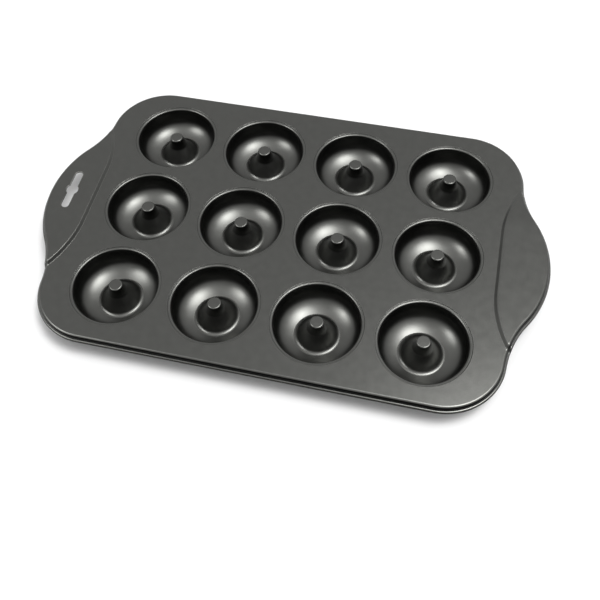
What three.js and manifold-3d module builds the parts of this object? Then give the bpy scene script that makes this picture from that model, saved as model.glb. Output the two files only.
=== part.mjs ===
// Baking pan for twelve small ring cakes, pressed from one coated steel sheet.
// Millimetres, +Z up. X runs along the pan from handle to handle, Y from front to back.
// The origin lies under the middle of the pan, on the surface that the cups stand on.

import * as THREE from 'three';
import { mergeVertices } from 'three/addons/utils/BufferGeometryUtils.js';
import Module from 'manifold-3d';

// Sheet
const SHEET = 0.6; // thickness of the steel
const SEAM = 0.3; // clearance where one pressed area ends and the next begins

// Cups
const COLUMNS = 4;
const ROWS = 3;
const CUP_RADIUS = 32.5; // inside the wall, at the mouth
const CUP_DEPTH = 20; // top of the deck to the floor of the trough
const LIP_BEND = 0.9; // inner radius of the bend from the deck into a cup
const FLOOR_WIDTH = 1.2; // flat ring that the cup stands on
const BOWL_CENTRE = 12; // radius at which the curve of the wall would lie flat, inside the cone
const BOWL_SPREAD_POWER = 2.2; // the wall is a rounded curve in which a power of 2 both ways gives an ellipse
const BOWL_DEPTH_POWER = 2.6;
const WEB_X = 10; // flat metal between neighbouring cups, along X
const WEB_Y = 8; // the same, along Y

// Cone and post in the middle of a cup
const CONE_RADIUS = 17.2; // where the floor turns up into the cone
const CONE_ANGLE = 53; // slope of the cone, in degrees
const CREASE_RADIUS = 2.5; // hollow bend at the foot of the cone
const WAIST_RADIUS = 8; // hollow bend from the cone up into the post
const POST_FLAT = 4.3; // radius of the flat top of the post
const POST_ANGLE = 73; // slope of the post's side, in degrees
const POST_EDGE_BEND = 0.7; // inner radius of the bend round the top of the post

// Plan of the deck, measured from the outer cups
const MARGIN_X = 11; // flat metal between the end cups and a handle
const MARGIN_Y = 14; // flat metal and bend between the outer cups and the long walls
const CORNER_RADIUS = 45;
const BLEND_RADIUS = 75; // hollow curve from a corner into a handle
const BODY_OVERHANG = 12.5; // how far the corners reach past the foot of a handle

// Handles
const HANDLE_REACH = 37.5; // foot of the handle to its tip
const HANDLE_TIP_RADIUS = 86;
const HANDLE_RAISE = 1.8;
const FOOT_STRAIGHT = 80; // straight middle of the line where the handle steps up
const FOOT_ROUND = 38; // radius of the two rounded ends of that line
const STEP_WIDTH = 3.6; // width of the step up to the handle
const SLOT_LENGTH = 37;
const SLOT_WIDTH = 6.5;
const SLOT_EYE = 10; // diameter of the round eye in the middle of the slot
const SLOT_INSET = 16.7; // tip of the handle to the middle line of the slot
const SLOT_SHIFT = 2.5; // the slot sits a little behind the middle of the handle

// Edge of the pan
const EDGE_BEND = 0.9; // inner radius of the bend from the deck into the wall
const WALL_HEIGHT = 0.8; // upright part of the wall, between its two bends
const FOOT_RADIUS = 1; // hollow bend from the wall out to the bead
const WIRE_DIAMETER = 1.4;
const WIRE_CLEARANCE = 0.3;
const CURL_SWEEP = 250; // how far the bead wraps round the wire, in degrees

// Facets of the round stretches
const CUP_SEGMENTS = 18;
const POST_SEGMENTS = 12;
const WIRE_SEGMENTS = 5;
const BEND_STEPS = 2;
const WALL_STEPS = 3;
const WAIST_STEPS = 1;
const CREASE_STEPS = 2;
const SMALL_BEND_STEPS = 1;
const STEP_STEPS = 4;
const FOOT_STEPS = 16;
const CURL_STEPS = 4;
const TIP_STEPS = 4;
const BLEND_STEPS = 7;
const CORNER_STEPS = 5;
const SLOT_STEPS = 6;

// Worked out from the dimensions above
const LIP_RADIUS = LIP_BEND + SHEET;
const MOUTH_RADIUS = CUP_RADIUS + LIP_RADIUS;
const TROUGH_RADIUS = CONE_RADIUS + SEAM + FLOOR_WIDTH;
const PITCH_X = 2 * MOUTH_RADIUS + WEB_X;
const PITCH_Y = 2 * MOUTH_RADIUS + WEB_Y;
const DECK_TOP = CUP_DEPTH + SHEET;
const POST_EDGE = POST_EDGE_BEND + SHEET;
const EDGE_RADIUS = EDGE_BEND + SHEET;
const WALL_DROP = EDGE_RADIUS + WALL_HEIGHT + FOOT_RADIUS;
const WIRE_RADIUS = WIRE_DIAMETER / 2;
const CURL_RADIUS = WIRE_RADIUS + WIRE_CLEARANCE + SHEET;
const HANDLE_FOOT = (PITCH_X * (COLUMNS - 1)) / 2 + MOUTH_RADIUS + MARGIN_X;
const HANDLE_TIP = HANDLE_FOOT + HANDLE_REACH;
const FOOT_CENTRE = HANDLE_FOOT + FOOT_ROUND;
const WALL_Y = (PITCH_Y * (ROWS - 1)) / 2 + MOUTH_RADIUS + MARGIN_Y;
const CUT_HEIGHT = 2 * (HANDLE_RAISE + SHEET);
const REVOLVED_TURN = [-Math.PI / 2, 1.5 * Math.PI]; // a revolved solid has its first facet edge at the front

const wasm = await Module();
wasm.setup();

const coating = { color: 0x53534e, roughness: 0.42, metalness: 0.35 };
const bareSteel = { color: 0x8c8f92, roughness: 0.35, metalness: 1 };

const pan = new THREE.Group();

function addPiece(name, geometry, look, x = 0, y = 0, z = DECK_TOP) {
  const piece = new THREE.Mesh(geometry, new THREE.MeshStandardMaterial(look));
  piece.name = name;
  piece.position.set(x, y, z);
  pan.add(piece);
}

// Points along an arc, both ends included, with angles in radians
function arc(centre, radius, from, to, steps) {
  const points = [];
  for (let step = 0; step <= steps; step += 1) {
    const angle = THREE.MathUtils.lerp(from, to, step / steps);
    points.push(new THREE.Vector2(Math.cos(angle), Math.sin(angle)).multiplyScalar(radius).add(centre));
  }
  return points;
}

// Runs of points joined end to end, with points that repeat left out
function chain(...runs) {
  const points = [];
  for (const point of runs.flat()) {
    const last = points.at(-1);
    if (!last || last.distanceTo(point) > 1e-6) points.push(point);
  }
  return points;
}

// Unit normal on the right-hand side of the way from one point to another
function rightNormal(from, to) {
  const way = to.clone().sub(from).normalize();
  return new THREE.Vector2(way.y, -way.x);
}

// Closed section of the sheet under a line of points, with its underside to the right of the line
function sheetSection(line) {
  const under = line.map((point, index) => {
    const before = index > 0 ? rightNormal(line[index - 1], point) : null;
    const after = index < line.length - 1 ? rightNormal(point, line[index + 1]) : null;
    const first = before ?? after;
    const second = after ?? before;
    const mitre = first.clone().add(second).divideScalar(1 + first.dot(second));
    return point.clone().addScaledVector(mitre, SHEET);
  });
  return [...line, ...under.reverse()];
}

// Solid of revolution about the Z axis, from a section of radius and height.
// A section that stays clear of the axis closes on its first point.
function revolve(section, segments) {
  const profile = section[0].x > 0 ? [...section, section[0]] : section;
  return new THREE.LatheGeometry(profile, segments).rotateX(Math.PI / 2);
}

// Flat plate with its top face at the given height
function plate(shape, thickness, top) {
  const options = { depth: thickness, bevelEnabled: false, steps: 1 };
  return new THREE.ExtrudeGeometry(shape, options).translate(0, 0, top - thickness);
}

function toSolid(geometry) {
  const bare = geometry.clone();
  bare.deleteAttribute('normal');
  bare.deleteAttribute('uv');
  const whole = mergeVertices(bare);
  const vertProperties = new Float32Array(whole.getAttribute('position').array);
  const corners = whole.getIndex().array;
  const kept = [];
  for (let index = 0; index < corners.length; index += 3) {
    const triangle = [...corners.slice(index, index + 3)];
    if (new Set(triangle).size === 3) kept.push(...triangle);
  }
  return new wasm.Manifold(new wasm.Mesh({ numProp: 3, vertProperties, triVerts: new Uint32Array(kept) }));
}

function toGeometry(solid) {
  const mesh = solid.getMesh();
  const geometry = new THREE.BufferGeometry();
  geometry.setAttribute('position', new THREE.BufferAttribute(mesh.vertProperties, 3));
  geometry.setIndex(new THREE.BufferAttribute(mesh.triVerts, 1));
  geometry.computeVertexNormals();
  return geometry;
}

// Plan of the wall's outer face

const tipCentre = new THREE.Vector2(HANDLE_TIP - HANDLE_TIP_RADIUS, 0);
const cornerCentre = new THREE.Vector2(HANDLE_FOOT + BODY_OVERHANG - CORNER_RADIUS, WALL_Y - CORNER_RADIUS);

// The blend curve touches the tip arc and the corner arc from outside
function findBlendCentre() {
  const toTip = HANDLE_TIP_RADIUS + BLEND_RADIUS;
  const toCorner = CORNER_RADIUS + BLEND_RADIUS;
  const base = cornerCentre.clone().sub(tipCentre);
  const span = base.length();
  const along = (toTip ** 2 - toCorner ** 2 + span ** 2) / (2 * span);
  const across = Math.sqrt(toTip ** 2 - along ** 2);
  const way = base.divideScalar(span);
  return new THREE.Vector2(way.x * along + way.y * across, way.y * along - way.x * across).add(tipCentre);
}

// Stretch of the plan with the outward normal at each point
function planArc(centre, radius, from, to, steps, side) {
  return arc(centre, radius, from, to, steps).map((point) => {
    const normal = point.clone().sub(centre).multiplyScalar(side / radius);
    return { point, normal };
  });
}

// One quarter of the plan, from the tip of the right handle to the straight back edge
function planQuarter() {
  const blendCentre = findBlendCentre();
  const tipEnd = blendCentre.clone().sub(tipCentre).angle();
  const blendStart = tipCentre.clone().sub(blendCentre).angle();
  const blendEnd = cornerCentre.clone().sub(blendCentre).angle();
  const cornerStart = blendEnd - Math.PI;
  return [
    ...planArc(tipCentre, HANDLE_TIP_RADIUS, 0, tipEnd, TIP_STEPS, 1),
    ...planArc(blendCentre, BLEND_RADIUS, blendStart, blendEnd, BLEND_STEPS, -1).slice(1),
    ...planArc(cornerCentre, CORNER_RADIUS, cornerStart, Math.PI / 2, CORNER_STEPS, 1).slice(1),
  ];
}

function mirrored(stops, flip) {
  return stops.map(({ point, normal }) => ({
    point: point.clone().multiply(flip),
    normal: normal.clone().multiply(flip),
  })).reverse();
}

// Whole plan, counter-clockwise
function planLoop() {
  const quarter = planQuarter();
  const back = [...quarter, ...mirrored(quarter, new THREE.Vector2(-1, 1))];
  const front = mirrored(back, new THREE.Vector2(1, -1)).slice(1, -1);
  return [...back, ...front];
}

const plan = planLoop();

function planShape(offset) {
  return new THREE.Shape(plan.map(({ point, normal }) => point.clone().addScaledVector(normal, offset)));
}

// Height of the sheet above the deck, by the distance in from the foot line of a handle
function rise(distance) {
  return HANDLE_RAISE * THREE.MathUtils.smoothstep(distance, 0, STEP_WIDTH);
}

// The edge of the pan steps up with the handles
function riseAt({ point, normal }) {
  const edge = point.clone().addScaledVector(normal, -EDGE_RADIUS);
  const pastStraight = Math.max(Math.abs(edge.y) - FOOT_STRAIGHT / 2, 0);
  return rise(FOOT_ROUND - Math.hypot(FOOT_CENTRE - Math.abs(edge.x), pastStraight));
}

const noRise = () => 0;

// Section carried round a loop of stops, with the section's x pointing outwards
function sweepRound(section, stops, liftAt) {
  const positions = [];
  const indices = [];
  const count = section.length;
  stops.forEach((stop, index) => {
    const lift = liftAt(stop);
    for (const { x: out, y: height } of section) {
      const spot = stop.point.clone().addScaledVector(stop.normal, out);
      positions.push(spot.x, spot.y, height + lift);
    }
    const here = index * count;
    const next = ((index + 1) % stops.length) * count;
    for (let side = 0; side < count; side += 1) {
      const after = (side + 1) % count;
      indices.push(here + side, next + side, next + after);
      indices.push(here + side, next + after, here + after);
    }
  });
  const geometry = new THREE.BufferGeometry();
  geometry.setAttribute('position', new THREE.Float32BufferAttribute(positions, 3));
  geometry.setIndex(indices);
  geometry.computeVertexNormals();
  return geometry;
}

// Deck and handles

const flatEdge = -EDGE_RADIUS - SEAM;
const cupSpots = [];
for (let row = 1; row <= ROWS; row += 1) {
  for (let column = 1; column <= COLUMNS; column += 1) {
    const x = (column - (COLUMNS + 1) / 2) * PITCH_X;
    const y = ((ROWS + 1) / 2 - row) * PITCH_Y;
    cupSpots.push({ label: `${row}_${column}`, x, y });
  }
}

// Round-ended loop about the middle line of a handle's raised area, counter-clockwise
function footLoop(side) {
  const middle = new THREE.Vector2(side * FOOT_CENTRE, 0);
  const back = middle.clone().add(new THREE.Vector2(0, FOOT_STRAIGHT / 2));
  const front = middle.clone().add(new THREE.Vector2(0, -FOOT_STRAIGHT / 2));
  const stops = [];
  for (const [point, start] of [[back, 0], [front, Math.PI]]) {
    for (const normal of arc(new THREE.Vector2(), 1, start, start + Math.PI, FOOT_STEPS)) {
      stops.push({ point, normal });
    }
  }
  return stops;
}

// The raised area of a handle, as a solid that is cut from the deck
function footCutter(side) {
  const reach = FOOT_ROUND + SEAM;
  const outline = footLoop(side).map(({ point, normal }) => point.clone().addScaledVector(normal, reach));
  return toSolid(plate(new THREE.Shape(outline), CUT_HEIGHT, CUT_HEIGHT / 2));
}

function deckPanel() {
  const shape = planShape(flatEdge);
  for (const { x, y } of cupSpots) {
    const hole = arc(new THREE.Vector2(x, y), MOUTH_RADIUS + SEAM, ...REVOLVED_TURN, CUP_SEGMENTS);
    shape.holes.push(new THREE.Path(hole.slice(1)));
  }
  const sheet = toSolid(plate(shape, SHEET, 0));
  return toGeometry(sheet.subtract(footCutter(1)).subtract(footCutter(-1)));
}

// Raised panel with a stepped edge, cut to the plan of the pan
function handlePanel(side) {
  const line = [new THREE.Vector2(0, HANDLE_RAISE)];
  for (let step = 0; step <= STEP_STEPS; step += 1) {
    const distance = STEP_WIDTH * (1 - step / STEP_STEPS);
    line.push(new THREE.Vector2(FOOT_ROUND - distance, rise(distance)));
  }
  const raised = sweepRound(sheetSection(line).reverse(), footLoop(side), noRise);
  const cutter = plate(planShape(flatEdge), 2 * CUT_HEIGHT, CUT_HEIGHT);
  return toSolid(raised).intersect(toSolid(cutter));
}

// Hanging slot: a round-ended slot across the handle, with a round eye in its middle
function slotCutter() {
  const end = SLOT_WIDTH / 2;
  const eye = SLOT_EYE / 2;
  const reach = SLOT_LENGTH / 2 - end;
  const eyeAngle = Math.asin(end / eye);
  const middle = new THREE.Vector2(SLOT_INSET - HANDLE_TIP, SLOT_SHIFT);
  const back = middle.clone().add(new THREE.Vector2(0, reach));
  const front = middle.clone().add(new THREE.Vector2(0, -reach));
  const quarterTurn = Math.PI / 2;
  const outline = chain(
    arc(middle, eye, eyeAngle - quarterTurn, quarterTurn - eyeAngle, SLOT_STEPS),
    arc(back, end, 0, Math.PI, SLOT_STEPS),
    arc(middle, eye, quarterTurn + eyeAngle, 3 * quarterTurn - eyeAngle, SLOT_STEPS),
    arc(front, end, Math.PI, 2 * Math.PI, SLOT_STEPS),
  );
  return toSolid(plate(new THREE.Shape(outline), 2 * CUT_HEIGHT, CUT_HEIGHT));
}

addPiece('deck_panel', deckPanel(), coating);
addPiece('left_handle', toGeometry(handlePanel(-1).subtract(slotCutter())), coating);
addPiece('right_handle', toGeometry(handlePanel(1)), coating);

// Cups

// Section of a trough, from its floor ring out over the rounded mouth, as radius and height
function cupSection() {
  const lipCentre = new THREE.Vector2(MOUTH_RADIUS, -LIP_RADIUS);
  const span = CUP_RADIUS - BOWL_CENTRE;
  const trough = Math.acos(((TROUGH_RADIUS - BOWL_CENTRE) / span) ** (BOWL_SPREAD_POWER / 2));
  const deepest = (CUP_DEPTH - LIP_RADIUS) / Math.sin(trough) ** (2 / BOWL_DEPTH_POWER);
  const wall = [];
  for (let step = WALL_STEPS; step >= 0; step -= 1) {
    const angle = (trough * step) / WALL_STEPS;
    const radius = BOWL_CENTRE + span * Math.cos(angle) ** (2 / BOWL_SPREAD_POWER);
    wall.push(new THREE.Vector2(radius, -LIP_RADIUS - deepest * Math.sin(angle) ** (2 / BOWL_DEPTH_POWER)));
  }
  const line = chain(
    [new THREE.Vector2(CONE_RADIUS + SEAM, -CUP_DEPTH)],
    wall,
    arc(lipCentre, LIP_RADIUS, Math.PI, Math.PI / 2, BEND_STEPS),
  );
  return sheetSection(line).reverse();
}

// Section of a cone and its post, from the middle of the post out to the foot of the cone
function postSection() {
  const coneSlope = THREE.MathUtils.degToRad(CONE_ANGLE);
  const postSlope = THREE.MathUtils.degToRad(POST_ANGLE);
  const down = -Math.PI / 2;
  const edge = arc(new THREE.Vector2(POST_FLAT, -POST_EDGE), POST_EDGE, -down, -down - postSlope, SMALL_BEND_STEPS);
  const creaseCentre = new THREE.Vector2(CONE_RADIUS, CREASE_RADIUS - CUP_DEPTH);
  const crease = arc(creaseCentre, CREASE_RADIUS, down - coneSlope, down, CREASE_STEPS);
  // The waist touches the side of the post and the side of the cone
  const side = edge.at(-1);
  const foot = crease[0];
  const postSide = new THREE.Vector2(Math.cos(postSlope), -Math.sin(postSlope));
  const coneSide = new THREE.Vector2(Math.cos(coneSlope), -Math.sin(coneSlope));
  const meeting = foot.clone().sub(side).cross(coneSide) / postSide.cross(coneSide);
  const straight = meeting - WAIST_RADIUS * Math.tan((postSlope - coneSlope) / 2);
  const waistCentre = side.clone().addScaledVector(postSide, straight);
  waistCentre.addScaledVector(new THREE.Vector2(Math.sin(postSlope), Math.cos(postSlope)), WAIST_RADIUS);
  const line = chain(
    [new THREE.Vector2(0, 0)],
    edge,
    arc(waistCentre, WAIST_RADIUS, down - postSlope, down - coneSlope, WAIST_STEPS),
    crease,
  );
  return sheetSection(line).reverse();
}

const cup = revolve(cupSection(), CUP_SEGMENTS);
const post = revolve(postSection(), POST_SEGMENTS);
for (const { label, x, y } of cupSpots) {
  addPiece(`ring_cup_${label}`, cup, coating, x, y);
  addPiece(`centre_post_${label}`, post, coating, x, y);
}

// Edge of the pan

const beadCentre = new THREE.Vector2(FOOT_RADIUS, -WALL_DROP - CURL_RADIUS);

// Section of the edge, from the deck over the wall and round the wire
function edgeSection() {
  const bendCentre = new THREE.Vector2(-EDGE_RADIUS, -EDGE_RADIUS);
  const footCentre = new THREE.Vector2(FOOT_RADIUS, FOOT_RADIUS - WALL_DROP);
  const curlEnd = Math.PI / 2 - THREE.MathUtils.degToRad(CURL_SWEEP);
  const line = chain(
    arc(bendCentre, EDGE_RADIUS, Math.PI / 2, 0, BEND_STEPS),
    arc(footCentre, FOOT_RADIUS, Math.PI, 1.5 * Math.PI, SMALL_BEND_STEPS),
    arc(beadCentre, CURL_RADIUS, Math.PI / 2, curlEnd, CURL_STEPS),
  );
  return sheetSection(line).reverse();
}

const wireSection = arc(beadCentre, WIRE_RADIUS, 0, 2 * Math.PI, WIRE_SEGMENTS).slice(1);

addPiece('rolled_rim', sweepRound(edgeSection(), plan, riseAt), coating);
addPiece('rim_wire', sweepRound(wireSection, plan, riseAt), bareSteel);

export default pan;
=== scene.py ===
# Baking pan for twelve small ring cakes, dressed for a studio picture.
# Sizes of the pan are in millimetres in the frame of the solids, and become metres when a mesh is made.
# Heights on the pan count from the top of the deck. The floor and the lamps are sized in metres.
# Angles are in degrees.

import math

import bpy
from mathutils import Matrix, Vector
from mathutils.geometry import delaunay_2d_cdt


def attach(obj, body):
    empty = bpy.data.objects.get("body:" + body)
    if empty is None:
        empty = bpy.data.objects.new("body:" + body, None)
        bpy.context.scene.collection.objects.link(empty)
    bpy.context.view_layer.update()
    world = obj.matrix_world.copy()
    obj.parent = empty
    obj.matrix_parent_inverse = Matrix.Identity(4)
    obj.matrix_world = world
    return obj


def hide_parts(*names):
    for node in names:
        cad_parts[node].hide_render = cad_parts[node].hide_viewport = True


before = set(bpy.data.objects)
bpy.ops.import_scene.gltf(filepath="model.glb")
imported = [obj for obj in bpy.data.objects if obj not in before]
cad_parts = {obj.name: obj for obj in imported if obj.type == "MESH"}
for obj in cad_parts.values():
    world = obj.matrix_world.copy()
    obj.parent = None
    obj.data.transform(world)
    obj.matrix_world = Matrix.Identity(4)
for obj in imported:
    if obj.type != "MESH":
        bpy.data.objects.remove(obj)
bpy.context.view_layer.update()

MM = 0.001
WHITE = (1, 1, 1, 1)

# Sheet
SHEET = 0.6
SEAM = 0.15  # flat strip that each pressed area keeps beyond its last bend
DECK_TOP = 20.6

# Cups
COLUMNS = 4
ROWS = 3
PITCH_X = 78.0
PITCH_Y = 76.0
CUP_RADIUS = 32.2
CUP_DEPTH = 20.0
LIP_RADIUS = 1.8
MOUTH_RADIUS = CUP_RADIUS + LIP_RADIUS
RING_RADIUS = 34.75  # small step that the punch leaves round each mouth
RING_DROP = 0.5
RING_BEND = 0.3
RING_SLOPE = 60.0
RING_FLAT = 0.1  # narrow flat next to the step, which keeps the shading of the flange even
FLANGE_RADIUS = 36.2
BOWL_CENTRE = 5.0  # radius at which the bowl's curve would lie flat, inside the cone
BOWL_SPREAD_POWER = 1.73  # both powers at 2 make an ellipse, more is squarer
BOWL_DEPTH_POWER = 3.62
FLOOR_SLOPE = 4.6  # slope with which the bowl runs down into the crease

# Cone and post
CONE_RADIUS = 17.5
CONE_ANGLE = 55.4
CREASE_RADIUS = 4.2
WAIST_RADIUS = 7.0
POST_FLAT = 4.15
POST_FLAT_STRIP = 0.4  # flat strip inside the rounded edge, which keeps the shading of the top even
POST_ANGLE = 75
POST_EDGE = 1.25

# Plan
HANDLE_FOOT = 162.0
HANDLE_TIP = 200.2
HANDLE_TIP_RADIUS = 86.0
HANDLE_RAISE = 2.5
BODY_END = 175.2
WALL_Y = 124.7
CORNER_RADIUS = 45.0
BLEND_RADIUS = 75.0
FOOT_HALF = 27.0
FOOT_ROUND = 90.0
FOOT_SHIFT = 2.5  # the raised areas sit a little behind the middle of the pan
FOOT_CENTRE = HANDLE_FOOT + FOOT_ROUND
STEP_WIDTH = 2.3
FOOT_BEND = 0.35  # width of the bend at the foot of the step, and of the one at its top
TOP_BEND = 0.6
TAPER_START = 38.0  # from here to the back the raised areas sink, and the step fades out
TAPER_LENGTH = 38.0
TAPER_RAISE = 0.7

# Hanging slot
SLOT_X = -182.8
SLOT_Y = 2.5
SLOT_LENGTH = 37.0
SLOT_WIDTH = 6.5
SLOT_EYE = 10.0
SLOT_ROLL = 1.2  # width of the edge that the punch drew down
SLOT_DROP = 0.3

# Edge
EDGE_RADIUS = 2.4
WALL_HEIGHT = 0.85
WALL_FOOT_RADIUS = 0.4
WALL_DROP = EDGE_RADIUS + WALL_HEIGHT + WALL_FOOT_RADIUS
CURL_RADIUS = 1.25
CURL_SWEEP = 250.0
WIRE_RADIUS = 0.35
BEAD = (WALL_FOOT_RADIUS, -WALL_DROP - CURL_RADIUS)
EDGE_SEAM = -EDGE_RADIUS - SEAM

# Groove between the bent edge and the bead, painted near-black as shade, as a span of the rim's section
GROOVE_TOP = -0.8
GROOVE_MARGIN = 0.02
GROOVE_FLOOR = -WALL_DROP + GROOVE_MARGIN
GROOVE_INSIDE = -0.6

# Coating, with painted shade: its shades are the shares of its colour that steep sheet keeps
COATING_COLOUR = (0.108, 0.109, 0.103)
DRAWN_ROUGHNESS = 0.32
FLAT_ROUGHNESS = 0.24
FLAT_RANGE = (0.975, 0.998)  # upward part of the normal, on drawn slopes and on flat sheet
ROUGHNESS_SPREAD = (0.92, 1.08)
SLOPE_RANGE = (0.5, 0.97)  # upward part of the normal, between which the painted shade runs from a steep wall's to flat sheet's
POST_RANGE = (0.27, 0.56)  # the same for the painted shade on the side of a post and on its cone
# Painted shade on the cups' steep walls, the posts' sides, the rim's bent edge and its groove
WALL_PAINTED_SHADE = 0.395
POST_PAINTED_SHADE = 0.3
RIM_PAINTED_SHADE = 0.3
GROOVE_PAINTED_SHADE = 0.02
GRAIN_SIZE = 0.9
GRAIN_DEPTH = 0.01
GRAIN_DETAIL = 2
MOTTLE_SIZE = 6.0
MOTTLE_DETAIL = 3
MOTTLE_SHADES = (0.97, 1.03)
NOISE_RANGE = (0.3, 0.7)

# Wire
WIRE_COLOUR = (0.55, 0.56, 0.57, 1)
WIRE_ROUGHNESS = (0.28, 0.45)
WIRE_PATCH = 8.0
WIRE_DETAIL = 3

# Floor
FLOOR_REACH = 4.0
FLOOR_COLOUR = (0.85, 0.85, 0.85, 1)
FLOOR_FADE = (0.4, 1.2)  # distances from the middle between which the floor turns plain white

# Softboxes
LAMP_DISTANCE = 3.0
LAMP_MIDDLE = (0.5, 0.5, 0)  # in the lamp's own coordinates, which run from 0 to 1
LAMP_EDGE = 0.5
KEY_DIRECTION = (0.303, 0.061, 0.951)
KEY_SIZE = (2.41, 2.00)
KEY_TURN = 5
KEY_RADIANCE = 17.4
SIDE_DIRECTION = (-0.625, -0.211, 0.751)
SIDE_SIZE = (1.73, 2.22)
SIDE_TURN = 30
SIDE_RADIANCE = 11.4

# Studio round the pan: dark in front, pale behind, with a soft glow overhead
FRONT_LEVEL = 0.06
BACK_AXIS = (-0.242, 0.442, 0.864)
BACK_RANGE = (0.0, 0.30)
BACK_LEVEL = 0.7
GLOW_AXIS = (0.437, -0.040, 0.899)
GLOW_RANGE = (0.57, 1.0)
GLOW_LEVEL = 0.55
BACKDROP_RANGE = (0.03, 0.1)  # heights above the horizon between which the backdrop gives way to the studio

# Camera
LENS_PIXELS = 730.0
FRAME_PIXELS = 600
SENSOR = 36.0
CAMERA_PLACE = (97.6, -324.8, 486.5)
CAMERA_ELEVATION = 59.49
CAMERA_AZIMUTH = -15.78
CAMERA_ROLL = -3.41

# Mesh steps
CUP_SEGMENTS = 120
POST_SEGMENTS = 96
RING_STEPS = 5
LIP_STEPS = 12
BOWL_STEPS = 48
POST_EDGE_STEPS = 10
WAIST_STEPS = 8
CREASE_STEPS = 16
PLAN_STEP = 1.2
PLAN_LEAST_STEPS = 4
EDGE_STEPS = 12
WALL_FOOT_STEPS = 8
CURL_STEPS = 36
WIRE_STEPS = 12
FOOT_STEPS = 120
STEP_ROWS = 20
HANDLE_ROWS = 16
SLOT_EYE_STEPS = 10
SLOT_END_STEPS = 14
SLOT_ROLL_ROWS = 5
SHARP_ANGLE = math.radians(40)
SAME_POINT = 1e-5  # points closer than this are one
TOLERANCE = 1e-6  # for a point on the axis, and for the triangles of the panels
RING_SLACK = 0.999  # share of a ring's radius that its straight segments stay outside of


def arc(centre, radius, start, end, steps):
    """Points along an arc, with its angles in degrees."""
    points = []
    for step in range(steps + 1):
        angle = math.radians(start + (end - start) * step / steps)
        x = centre[0] + radius * math.cos(angle)
        y = centre[1] + radius * math.sin(angle)
        points.append(Vector((x, y)))
    return points


def chain(*runs):
    """Runs of points joined to one line, without doubled points."""
    points = []
    for run in runs:
        for point in run:
            point = Vector(point)
            if not points or (points[-1] - point).length > SAME_POINT:
                points.append(point)
    return points


def clamp(value, low, high):
    return min(max(value, low), high)


def right_normal(start, end):
    way = (end - start).normalized()
    return Vector((way.y, -way.x))


def sheet_section(line):
    """Closed section of the sheet, with its underside to the right of the line."""
    under = []
    for index, point in enumerate(line):
        before = right_normal(line[index - 1], point) if index > 0 else None
        after = right_normal(point, line[index + 1]) if index < len(line) - 1 else None
        first = before or after
        second = after or before
        mitre = (first + second) / (1 + first.dot(second))
        under.append(point + mitre * SHEET)
    return list(line) + under[::-1]


def make_mesh(name, points, faces):
    """Smooth mesh from millimetre points, with sharp edges where the sheet ends."""
    mesh = bpy.data.meshes.new(name)
    mesh.from_pydata([(x * MM, y * MM, z * MM) for x, y, z in points], [], faces)
    mesh.validate()
    mesh.update()
    mesh.polygons.foreach_set("use_smooth", [True] * len(mesh.polygons))
    mesh.set_sharp_from_angle(angle=SHARP_ANGLE)
    return mesh


def add_piece(name, mesh, node, material, x=0, y=0):
    """Piece at a spot on the deck that stands for one node of the solids."""
    piece = bpy.data.objects.new(name, mesh)
    bpy.context.scene.collection.objects.link(piece)
    piece.location = Vector((x, y, DECK_TOP)) * MM
    if not mesh.materials:
        mesh.materials.append(material)
    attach(piece, "root")
    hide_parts(node)


def revolved(name, section, segments):
    """Solid of revolution from a closed section of radius and height, listed clockwise."""
    points = []
    faces = []
    rings = []
    for radius, height in section:
        if radius < TOLERANCE:
            rings.append([len(points)] * segments)
            points.append((0, 0, height))
            continue
        ring = []
        for segment in range(segments):
            angle = 2 * math.pi * segment / segments
            ring.append(len(points))
            points.append((radius * math.cos(angle), radius * math.sin(angle), height))
        rings.append(ring)
    count = len(rings)
    for index in range(count):
        here = rings[index]
        after = rings[(index + 1) % count]
        for segment in range(segments):
            turn = (segment + 1) % segments
            face = []
            for corner in (here[segment], after[segment], after[turn], here[turn]):
                if corner not in face:
                    face.append(corner)
            if len(face) > 2:
                faces.append(face)
    return make_mesh(name, points, faces)


def crease_end():
    """Point where the crease at the foot of the cone runs out into the bowl."""
    slope = math.radians(FLOOR_SLOPE)
    return (
        CONE_RADIUS + CREASE_RADIUS * math.sin(slope),
        CREASE_RADIUS * (1 - math.cos(slope)) - CUP_DEPTH,
    )


def cup_mesh():
    """Flange, stepped mouth, lip and bowl, down to the crease."""
    bend_rise = RING_BEND * (1 - math.cos(math.radians(RING_SLOPE)))
    bend_run = RING_BEND * math.sin(math.radians(RING_SLOPE))
    straight = (RING_DROP - 2 * bend_rise) / math.tan(math.radians(RING_SLOPE))
    outer = RING_RADIUS + straight / 2 + bend_run
    inner = RING_RADIUS - straight / 2 - bend_run
    wall_top = -RING_DROP - LIP_RADIUS
    span = CUP_RADIUS - BOWL_CENTRE
    floor_radius, floor_height = crease_end()
    end_angle = math.acos(((floor_radius - BOWL_CENTRE) / span) ** (BOWL_SPREAD_POWER / 2))
    deepest = (wall_top - floor_height) / math.sin(end_angle) ** (2 / BOWL_DEPTH_POWER)
    wall = []
    for step in range(BOWL_STEPS + 1):
        angle = end_angle * step / BOWL_STEPS
        radius = BOWL_CENTRE + span * math.cos(angle) ** (2 / BOWL_SPREAD_POWER)
        wall.append((radius, wall_top - deepest * math.sin(angle) ** (2 / BOWL_DEPTH_POWER)))
    line = chain(
        [(FLANGE_RADIUS, 0), (outer + RING_FLAT, 0)],
        arc((outer, -RING_BEND), RING_BEND, 90, 90 + RING_SLOPE, RING_STEPS),
        arc((inner, RING_BEND - RING_DROP), RING_BEND, RING_SLOPE - 90, -90, RING_STEPS),
        arc((MOUTH_RADIUS, wall_top), LIP_RADIUS, 90, 180, LIP_STEPS),
        wall,
    )
    return revolved("ring_cup", sheet_section(line[::-1])[::-1], CUP_SEGMENTS)


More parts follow.
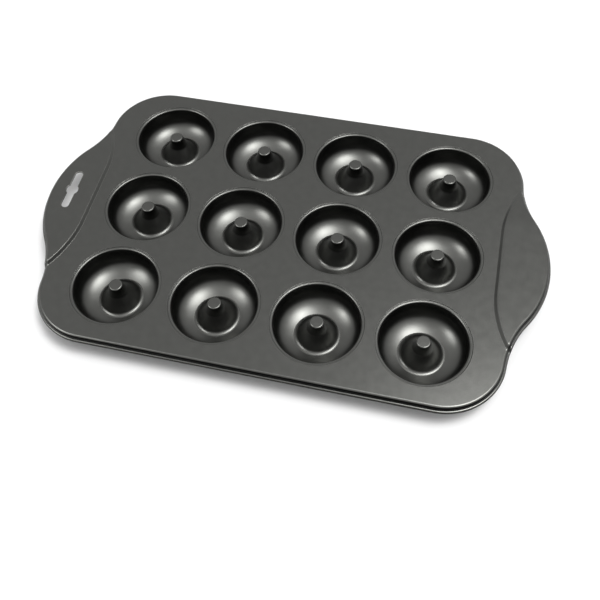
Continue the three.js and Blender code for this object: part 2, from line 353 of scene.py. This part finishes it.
def post_mesh():
    """Post with a rounded edge, a hollow waist and a cone that ends in the crease."""
    cone_slope = math.radians(CONE_ANGLE)
    post_slope = math.radians(POST_ANGLE)
    edge = arc((POST_FLAT, -POST_EDGE), POST_EDGE, 90, 90 - POST_ANGLE, POST_EDGE_STEPS)
    crease_centre = (CONE_RADIUS, CREASE_RADIUS - CUP_DEPTH)
    crease = arc(crease_centre, CREASE_RADIUS, -90 - CONE_ANGLE, FLOOR_SLOPE - 90, CREASE_STEPS)
    post_side = Vector((math.cos(post_slope), -math.sin(post_slope)))
    cone_side = Vector((math.cos(cone_slope), -math.sin(cone_slope)))
    apart = crease[0] - edge[-1]
    meeting = apart.cross(cone_side) / post_side.cross(cone_side)
    straight = meeting - WAIST_RADIUS * math.tan((post_slope - cone_slope) / 2)
    outwards = Vector((math.sin(post_slope), math.cos(post_slope)))
    waist_centre = edge[-1] + post_side * straight + outwards * WAIST_RADIUS
    line = chain(
        [(0, 0), (POST_FLAT - POST_FLAT_STRIP, 0)],
        edge,
        arc(waist_centre, WAIST_RADIUS, -90 - POST_ANGLE, -90 - CONE_ANGLE, WAIST_STEPS),
        crease,
    )
    return revolved("centre_post", sheet_section(line)[::-1], POST_SEGMENTS)


def bearing(start, end):
    return math.degrees(math.atan2(end.y - start.y, end.x - start.x))


def plan_quarter():
    """Stops along a quarter of the wall's outer face, from the right tip to the straight back edge."""
    tip = Vector((HANDLE_TIP - HANDLE_TIP_RADIUS, 0))
    corner = Vector((BODY_END - CORNER_RADIUS, WALL_Y - CORNER_RADIUS))
    to_tip = HANDLE_TIP_RADIUS + BLEND_RADIUS
    to_corner = CORNER_RADIUS + BLEND_RADIUS
    base = corner - tip
    span = base.length
    along = (to_tip ** 2 - to_corner ** 2 + span ** 2) / (2 * span)
    across = math.sqrt(to_tip ** 2 - along ** 2)
    way = base / span
    blend = tip + Vector((way.x * along + way.y * across, way.y * along - way.x * across))
    tip_end = bearing(tip, blend)
    blend_start = bearing(blend, tip) % 360
    blend_end = bearing(blend, corner) % 360
    corner_start = blend_end - 180
    stops = []
    for centre, radius, start, end, side in (
        (tip, HANDLE_TIP_RADIUS, 0, tip_end, 1),
        (blend, BLEND_RADIUS, blend_start, blend_end, -1),
        (corner, CORNER_RADIUS, corner_start, 90, 1),
    ):
        steps = max(PLAN_LEAST_STEPS, round(radius * math.radians(abs(end - start)) / PLAN_STEP))
        points = arc(centre, radius, start, end, steps)
        for point in points[1 if stops else 0:]:
            stops.append((point, (point - centre) * (side / radius)))
    return stops


def mirrored(stops, flip):
    return [(point * Vector(flip), normal * Vector(flip)) for point, normal in reversed(stops)]


def plan_loop():
    """Stops all round the wall, each with the direction that points outwards."""
    quarter = plan_quarter()
    back = quarter + mirrored(quarter, (-1, 1))
    return back + mirrored(back, (1, -1))[1:-1]


def foot_distance(x, y):
    """How far a point lies inside the foot line of the nearer handle, negative outside."""
    past = max(abs(y - FOOT_SHIFT) - FOOT_HALF, 0)
    return FOOT_ROUND - math.hypot(FOOT_CENTRE - abs(x), past)


def rise(x, y):
    """Height of the sheet above the deck, up a flat slope with a bend at each end."""
    taper = clamp((y - TAPER_START) / TAPER_LENGTH, 0, 1)
    eased = taper ** 2 * (3 - 2 * taper)
    top = HANDLE_RAISE + (TAPER_RAISE - HANDLE_RAISE) * eased
    slope = top / (STEP_WIDTH - (FOOT_BEND + TOP_BEND) / 2)
    inside = clamp(foot_distance(x, y), 0, STEP_WIDTH)
    left = STEP_WIDTH - inside
    if inside < FOOT_BEND:
        return slope * inside ** 2 / (2 * FOOT_BEND)
    if left < TOP_BEND:
        return top - slope * left ** 2 / (2 * TOP_BEND)
    return slope * (inside - FOOT_BEND / 2)


def swept(name, section, lifts):
    """Closed section carried round the plan, with its x pointing outwards."""
    points = []
    faces = []
    count = len(section)
    for index, ((point, normal), lift) in enumerate(zip(plan, lifts)):
        for out, height in section:
            spot = point + normal * out
            points.append((spot.x, spot.y, height + lift))
        here = index * count
        after = (index + 1) % len(plan) * count
        for side in range(count):
            turn = (side + 1) % count
            faces.append((here + side, after + side, after + turn, here + turn))
    return make_mesh(name, points, faces)


def rim_mesh(lifts, sheet_material, painted_shade_material):
    """Bent edge, short wall and rolled bead, with painted shade in a near-black material on the faces of
    the groove.
    """
    line = chain(
        [(EDGE_SEAM, 0)],
        arc((-EDGE_RADIUS, -EDGE_RADIUS), EDGE_RADIUS, 90, 0, EDGE_STEPS),
        arc((WALL_FOOT_RADIUS, WALL_FOOT_RADIUS - WALL_DROP), WALL_FOOT_RADIUS, 180, 270, WALL_FOOT_STEPS),
        arc(BEAD, CURL_RADIUS, 90, 90 - CURL_SWEEP, CURL_STEPS),
    )
    section = sheet_section(line)[::-1]
    mesh = swept("rolled_rim", section, lifts)
    mesh.materials.append(sheet_material)
    mesh.materials.append(painted_shade_material)
    # Faces in the groove get the painted shade
    for face in mesh.polygons:
        side = face.index % len(section)
        middle = (section[side] + section[(side + 1) % len(section)]) / 2
        if middle.x > GROOVE_INSIDE and GROOVE_FLOOR < middle.y < GROOVE_TOP:
            face.material_index = 1
    return mesh


def slot_distance(x, y):
    """How far a point lies outside the edge of the hanging slot."""
    reach = (SLOT_LENGTH - SLOT_WIDTH) / 2
    along = clamp(y - SLOT_Y, -reach, reach)
    bar = math.hypot(x - SLOT_X, y - SLOT_Y - along) - SLOT_WIDTH / 2
    eye = math.hypot(x - SLOT_X, y - SLOT_Y) - SLOT_EYE / 2
    return min(bar, eye)


def slot_loop(offset):
    """Line round the slot at a distance from its edge."""
    end = SLOT_WIDTH / 2 + offset
    eye = SLOT_EYE / 2 + offset
    reach = (SLOT_LENGTH - SLOT_WIDTH) / 2
    angle = math.degrees(math.asin(end / eye))
    middle = (SLOT_X, SLOT_Y)
    return chain(
        arc(middle, eye, angle - 90, 90 - angle, SLOT_EYE_STEPS),
        arc((SLOT_X, SLOT_Y + reach), end, 0, 180, SLOT_END_STEPS),
        arc(middle, eye, 90 + angle, 270 - angle, SLOT_EYE_STEPS),
        arc((SLOT_X, SLOT_Y - reach), end, 180, 360, SLOT_END_STEPS),
    )[:-1]


def foot_loop(side, distance):
    """Line inside the foot line of a handle at a distance from it."""
    radius = FOOT_ROUND - distance
    back = (side * FOOT_CENTRE, FOOT_SHIFT + FOOT_HALF)
    front = (side * FOOT_CENTRE, FOOT_SHIFT - FOOT_HALF)
    return arc(back, radius, 0, 180, FOOT_STEPS) + arc(front, radius, 180, 360, FOOT_STEPS)


def inside_outline(x, y):
    """Whether a point lies within the line where the sheet starts to bend down."""
    inside = False
    last = outline[-1]
    for point in outline:
        if (point.y > y) != (last.y > y):
            if x < (last.x - point.x) * (y - point.y) / (last.y - point.y) + point.x:
                inside = not inside
        last = point
    return inside


def panel_height(x, y):
    """Height of the sheet above the deck, drawn down at the edge of the slot."""
    share = clamp(slot_distance(x, y) / SLOT_ROLL, 0, 1)
    return rise(x, y) - SLOT_DROP * (1 - share) ** 2


def panel_mesh(name, loops, keep):
    """Pressed sheet with a stepped height, between closed loops of plan points."""
    spots = []
    edges = []
    for loop in loops:
        first = len(spots)
        spots.extend(loop)
        edges.extend((first + index, first + (index + 1) % len(loop)) for index in range(len(loop)))
    corners, _, triangles, _, _, _ = delaunay_2d_cdt(spots, edges, [], 0, TOLERANCE)
    kept = []
    for triangle in triangles:
        centre = sum((corners[index] for index in triangle), Vector((0, 0))) / 3
        if keep(centre.x, centre.y):
            kept.append(tuple(triangle))
    used = sorted({index for triangle in kept for index in triangle})
    place = {index: number for number, index in enumerate(used)}
    top = []
    for index in used:
        x, y = corners[index]
        top.append((x, y, panel_height(x, y)))
    kept = [tuple(place[index] for index in triangle) for triangle in kept]
    count = len(top)
    points = top + [(x, y, z - SHEET) for x, y, z in top]
    faces = kept + [tuple(count + index for index in reversed(triangle)) for triangle in kept]
    sides = {}
    for triangle in kept:
        for index in range(3):
            sides[(triangle[index], triangle[(index + 1) % 3])] = True
    for start, end in sides:
        if (end, start) not in sides:
            faces.append((end, start, count + start, count + end))
    return make_mesh(name, points, faces)


def keep_deck(x, y):
    """Whether a point is on the deck, which leaves out the handles and the cups."""
    if foot_distance(x, y) > -SEAM or not inside_outline(x, y):
        return False
    nearest = min(math.hypot(x - cup_x, y - cup_y) for _, cup_x, cup_y in cup_spots)
    return nearest > FLANGE_RADIUS * RING_SLACK


def keep_handle(side):
    """Test of whether a point is on the handle at that side."""

    def keep(x, y):
        if x * side < 0 or foot_distance(x, y) < -SEAM or slot_distance(x, y) < 0:
            return False
        return inside_outline(x, y)

    return keep


def deck_mesh():
    loops = [outline, foot_loop(1, -SEAM), foot_loop(-1, -SEAM)]
    for _, x, y in cup_spots:
        loops.append(arc((x, y), FLANGE_RADIUS, 0, 360, CUP_SEGMENTS)[:-1])
    return panel_mesh("deck_panel", loops, keep_deck)


def handle_mesh(name, side):
    """Raised end of the sheet, with its step and, at the left, the slot."""
    loops = [outline]
    for row in range(STEP_ROWS + 1):
        loops.append(foot_loop(side, STEP_WIDTH * row / STEP_ROWS))
    loops.append(foot_loop(side, -SEAM))
    reach = HANDLE_TIP - HANDLE_FOOT
    for row in range(1, HANDLE_ROWS):
        loops.append(foot_loop(side, STEP_WIDTH + (reach - STEP_WIDTH) * row / HANDLE_ROWS))
    if side < 0:
        for row in range(SLOT_ROLL_ROWS + 1):
            loops.append(slot_loop(SLOT_ROLL * row / SLOT_ROLL_ROWS))
        loops.append(slot_loop(SLOT_ROLL + SEAM))
    return panel_mesh(name, loops, keep_handle(side))


def new_material(name):
    material = bpy.data.materials.new(name)
    material.use_nodes = True
    tree = material.node_tree
    tree.nodes.clear()
    return material, tree


def feed(tree, value, socket):
    """Link a node's output to a socket, or set the socket to a plain value."""
    if isinstance(value, bpy.types.NodeSocket):
        tree.links.new(value, socket)
    else:
        socket.default_value = value


def add_math(tree, operation, *values, kind="ShaderNodeMath"):
    """Number that a math node makes from links or plain values."""
    node = tree.nodes.new(kind)
    node.operation = operation
    for value, socket in zip(values, node.inputs):
        feed(tree, value, socket)
    return node.outputs["Value"]


def add_range(tree, value, source, target, interpolation="LINEAR"):
    """Value carried from one range to another."""
    node = tree.nodes.new("ShaderNodeMapRange")
    node.interpolation_type = interpolation
    names = ("Value", "From Min", "From Max", "To Min", "To Max")
    for name, item in zip(names, (value, *source, *target)):
        feed(tree, item, node.inputs[name])
    return node.outputs["Result"]


def add_noise(tree, place, size, detail):
    """Noise whose features have the given size in millimetres."""
    node = tree.nodes.new("ShaderNodeTexNoise")
    node.inputs["Scale"].default_value = 1 / (size * MM)
    node.inputs["Detail"].default_value = detail
    tree.links.new(place.outputs["Object"], node.inputs["Vector"])
    return node.outputs["Fac"]


def coating_material(name, steep_painted_shade=1, flat_painted_shade=1, slopes=SLOPE_RANGE):
    """Dark satin non-stick coating, finely grained, with painted shade for steep and for flat sheet."""
    material, tree = new_material(name)
    output = tree.nodes.new("ShaderNodeOutputMaterial")
    shader = tree.nodes.new("ShaderNodeBsdfPrincipled")
    shader.inputs["Metallic"].default_value = 1.0
    place = tree.nodes.new("ShaderNodeTexCoord")
    facing = tree.nodes.new("ShaderNodeSeparateXYZ")
    tree.links.new(place.outputs["Normal"], facing.inputs["Vector"])
    upward = facing.outputs["Z"]
    grain = add_noise(tree, place, GRAIN_SIZE, GRAIN_DETAIL)
    mottle = add_noise(tree, place, MOTTLE_SIZE, MOTTLE_DETAIL)

    # Painted shade: steep sheet is darkened in colour; the mottle is the coating's own random tone
    slope = add_range(tree, upward, slopes, (steep_painted_shade, flat_painted_shade), "SMOOTHSTEP")
    tint = add_range(tree, mottle, NOISE_RANGE, MOTTLE_SHADES)
    colour = tree.nodes.new("ShaderNodeVectorMath")
    colour.operation = "SCALE"
    colour.inputs[0].default_value = COATING_COLOUR
    tree.links.new(add_math(tree, "MULTIPLY", slope, tint), colour.inputs["Scale"])
    tree.links.new(colour.outputs["Vector"], shader.inputs["Base Color"])

    polish = add_range(tree, upward, FLAT_RANGE, (DRAWN_ROUGHNESS, FLAT_ROUGHNESS))
    patches = add_range(tree, mottle, NOISE_RANGE, ROUGHNESS_SPREAD)
    tree.links.new(add_math(tree, "MULTIPLY", polish, patches), shader.inputs["Roughness"])

    bump = tree.nodes.new("ShaderNodeBump")
    bump.inputs["Strength"].default_value = 1
    bump.inputs["Distance"].default_value = GRAIN_DEPTH * MM
    tree.links.new(grain, bump.inputs["Height"])
    tree.links.new(bump.outputs["Normal"], shader.inputs["Normal"])
    tree.links.new(shader.outputs["BSDF"], output.inputs["Surface"])
    return material


def wire_material():
    """Plain drawn steel wire, dulled in patches."""
    material, tree = new_material("wire")
    output = tree.nodes.new("ShaderNodeOutputMaterial")
    shader = tree.nodes.new("ShaderNodeBsdfPrincipled")
    place = tree.nodes.new("ShaderNodeTexCoord")
    patches = add_noise(tree, place, WIRE_PATCH, WIRE_DETAIL)
    shader.inputs["Base Color"].default_value = WIRE_COLOUR
    shader.inputs["Metallic"].default_value = 1.0
    tree.links.new(add_range(tree, patches, NOISE_RANGE, WIRE_ROUGHNESS), shader.inputs["Roughness"])
    tree.links.new(shader.outputs["BSDF"], output.inputs["Surface"])
    return material


def ray_kinds(tree):
    """Value that is 1 for rays from the camera, and one that is 1 for mirrored and refracted rays."""
    rays = tree.nodes.new("ShaderNodeLightPath")
    bent = add_math(tree, "MAXIMUM", rays.outputs["Is Glossy Ray"], rays.outputs["Is Transmission Ray"])
    return rays.outputs["Is Camera Ray"], bent


def floor_material():
    """Pale floor that is seen as plain white far from the pan, also in the pan's own surface."""
    material, tree = new_material("floor")
    output = tree.nodes.new("ShaderNodeOutputMaterial")
    shader = tree.nodes.new("ShaderNodeBsdfDiffuse")
    shader.inputs["Color"].default_value = FLOOR_COLOUR
    place = tree.nodes.new("ShaderNodeTexCoord")
    distance = add_math(tree, "LENGTH", place.outputs["Object"], kind="ShaderNodeVectorMath")
    far = add_range(tree, distance, FLOOR_FADE, (0, 1), "SMOOTHSTEP")
    camera_rays, bent_rays = ray_kinds(tree)
    seen = add_math(tree, "MAXIMUM", camera_rays, bent_rays)
    plain = tree.nodes.new("ShaderNodeEmission")
    mix = tree.nodes.new("ShaderNodeMixShader")
    tree.links.new(add_math(tree, "MULTIPLY", far, seen), mix.inputs["Fac"])
    tree.links.new(shader.outputs["BSDF"], mix.inputs[1])
    tree.links.new(plain.outputs["Emission"], mix.inputs[2])
    tree.links.new(mix.outputs["Shader"], output.inputs["Surface"])
    return material


def add_softbox(name, direction, size, turn, radiance):
    """Oval softbox that faces the pan and fades from its middle, which has the given radiance."""
    light = bpy.data.lights.new(name, "AREA")
    light.shape = "ELLIPSE"
    light.size, light.size_y = size
    area = math.pi / 4 * size[0] * size[1]
    light.energy = radiance * math.pi * area
    light.use_nodes = True
    tree = light.node_tree
    tree.nodes.clear()
    spot = tree.nodes.new("ShaderNodeNewGeometry").outputs["Parametric"]
    offset = add_math(tree, "DISTANCE", spot, LAMP_MIDDLE, kind="ShaderNodeVectorMath")
    emission = tree.nodes.new("ShaderNodeEmission")
    output = tree.nodes.new("ShaderNodeOutputLight")
    fade = add_range(tree, offset, (0, LAMP_EDGE), (1, 0), "SMOOTHSTEP")
    tree.links.new(fade, emission.inputs["Strength"])
    tree.links.new(emission.outputs["Emission"], output.inputs["Surface"])
    lamp = bpy.data.objects.new(name, light)
    bpy.context.scene.collection.objects.link(lamp)
    way = Vector(direction).normalized()
    lamp.location = way * LAMP_DISTANCE
    facing = way.to_track_quat("Z", "Y").to_matrix()
    lamp.rotation_euler = (facing @ Matrix.Rotation(math.radians(turn), 3, "Z")).to_euler()
    return lamp


def studio_gradient(tree, way, axis, cosines, level, interpolation):
    """Light that grows towards an axis, between two cosines of the angle from it."""
    tilt = add_math(tree, "DOT_PRODUCT", way, axis, kind="ShaderNodeVectorMath")
    return add_range(tree, tilt, cosines, (0, level), interpolation)


def set_studio(tree):
    """World that lights the pan as the studio does, and that the camera sees as plain white."""
    tree.nodes.clear()
    way = tree.nodes.new("ShaderNodeTexCoord").outputs["Generated"]
    back = studio_gradient(tree, way, BACK_AXIS, BACK_RANGE, BACK_LEVEL, "SMOOTHSTEP")

    # The glow is squared, so that it grows slowly at first
    root = studio_gradient(tree, way, GLOW_AXIS, GLOW_RANGE, GLOW_LEVEL ** 0.5, "LINEAR")
    studio = add_math(tree, "ADD", add_math(tree, "MULTIPLY_ADD", root, root, back), FRONT_LEVEL)

    # The pan's surface shows the white backdrop along the horizon
    camera_rays, bent_rays = ray_kinds(tree)
    height = tree.nodes.new("ShaderNodeSeparateXYZ")
    tree.links.new(way, height.inputs["Vector"])
    low = add_range(tree, height.outputs["Z"], BACKDROP_RANGE, (1, 0), "SMOOTHSTEP")
    seen = add_math(tree, "MULTIPLY_ADD", bent_rays, low, camera_rays)
    background = tree.nodes.new("ShaderNodeBackground")
    background.inputs["Color"].default_value = WHITE
    output = tree.nodes.new("ShaderNodeOutputWorld")
    tree.links.new(add_range(tree, seen, (0, 1), (studio, 1)), background.inputs["Strength"])
    tree.links.new(background.outputs["Background"], output.inputs["Surface"])


# Lines that the pieces share
plan = plan_loop()
outline = [point + normal * EDGE_SEAM for point, normal in plan]
edge_lifts = [rise(spot.x, spot.y) for spot in outline]
cup_spots = []
for row in range(1, ROWS + 1):
    for column in range(1, COLUMNS + 1):
        cup_x = (column - (COLUMNS + 1) / 2) * PITCH_X
        cup_y = ((ROWS + 1) / 2 - row) * PITCH_Y
        cup_spots.append((f"{row}_{column}", cup_x, cup_y))

# Materials
# The cups' coating has painted shade on its steep walls
coating = coating_material("coating", WALL_PAINTED_SHADE)
flat_coating = coating_material("flat_coating")
# The posts' coating has painted shade on their steep sides
post_painted_shade_coating = coating_material("post_painted_shade_coating", POST_PAINTED_SHADE, slopes=POST_RANGE)
# The rim's coating has painted shade on its steep edge and wall
rim_painted_shade_coating = coating_material("rim_painted_shade_coating", RIM_PAINTED_SHADE)
# The groove's coating is painted shade all over, almost black
groove_painted_shade = coating_material("groove_painted_shade", GROOVE_PAINTED_SHADE, GROOVE_PAINTED_SHADE)
wire = wire_material()

# Pieces
add_piece("deck_panel_sheet", deck_mesh(), "deck_panel", flat_coating)
for name, side in (("left_handle", -1), ("right_handle", 1)):
    add_piece(f"{name}_sheet", handle_mesh(name, side), name, flat_coating)
cup = cup_mesh()
post = post_mesh()
for label, cup_x, cup_y in cup_spots:
    for name, mesh, material in (("ring_cup", cup, coating), ("centre_post", post, post_painted_shade_coating)):
        node = f"{name}_{label}"
        add_piece(f"{node}_sheet", mesh, node, material, cup_x, cup_y)
rim = rim_mesh(edge_lifts, rim_painted_shade_coating, groove_painted_shade)
add_piece("rolled_rim_sheet", rim, "rolled_rim", rim_painted_shade_coating)
wire_section = arc(BEAD, WIRE_RADIUS, 0, 360, WIRE_STEPS)[1:]
add_piece("rim_wire_smooth", swept("rim_wire", wire_section, edge_lifts), "rim_wire", wire)

# Stage
floor_mesh = bpy.data.meshes.new("floor")
floor_corners = [(x * FLOOR_REACH, y * FLOOR_REACH, 0) for x, y in ((-1, -1), (1, -1), (1, 1), (-1, 1))]
floor_mesh.from_pydata(floor_corners, [], [(0, 1, 2, 3)])
floor_mesh.materials.append(floor_material())
floor = bpy.data.objects.new("floor", floor_mesh)
bpy.context.scene.collection.objects.link(floor)

# Light
add_softbox("key_softbox", KEY_DIRECTION, KEY_SIZE, KEY_TURN, KEY_RADIANCE)
side_softbox = add_softbox("side_softbox", SIDE_DIRECTION, SIDE_SIZE, SIDE_TURN, SIDE_RADIANCE)

# The side light stays off the floor, where it would cast a second shadow
spared = bpy.data.collections.new("spared_by_side_softbox")
spared.objects.link(floor)
spared.collection_objects[0].light_linking.link_state = "EXCLUDE"
side_softbox.light_linking.receiver_collection = spared

world = bpy.context.scene.world or bpy.data.worlds.new("world")
bpy.context.scene.world = world
world.use_nodes = True
set_studio(world.node_tree)

# View
camera_data = bpy.data.cameras.new("camera")
camera_data.sensor_width = SENSOR
camera_data.lens = SENSOR * LENS_PIXELS / FRAME_PIXELS
camera = bpy.data.objects.new("camera", camera_data)
bpy.context.scene.collection.objects.link(camera)
camera.location = Vector(CAMERA_PLACE) * MM
elevation = math.radians(CAMERA_ELEVATION)
azimuth = math.radians(CAMERA_AZIMUTH)
level_look = Vector((math.sin(azimuth), math.cos(azimuth), 0)) * math.cos(elevation)
look = level_look - Vector((0, 0, math.sin(elevation)))
roll = Matrix.Rotation(math.radians(CAMERA_ROLL), 3, "Z")
camera.rotation_euler = (look.to_track_quat("-Z", "Y").to_matrix() @ roll).to_euler()
bpy.context.scene.camera = camera

bpy.context.scene.view_settings.view_transform = "Standard"
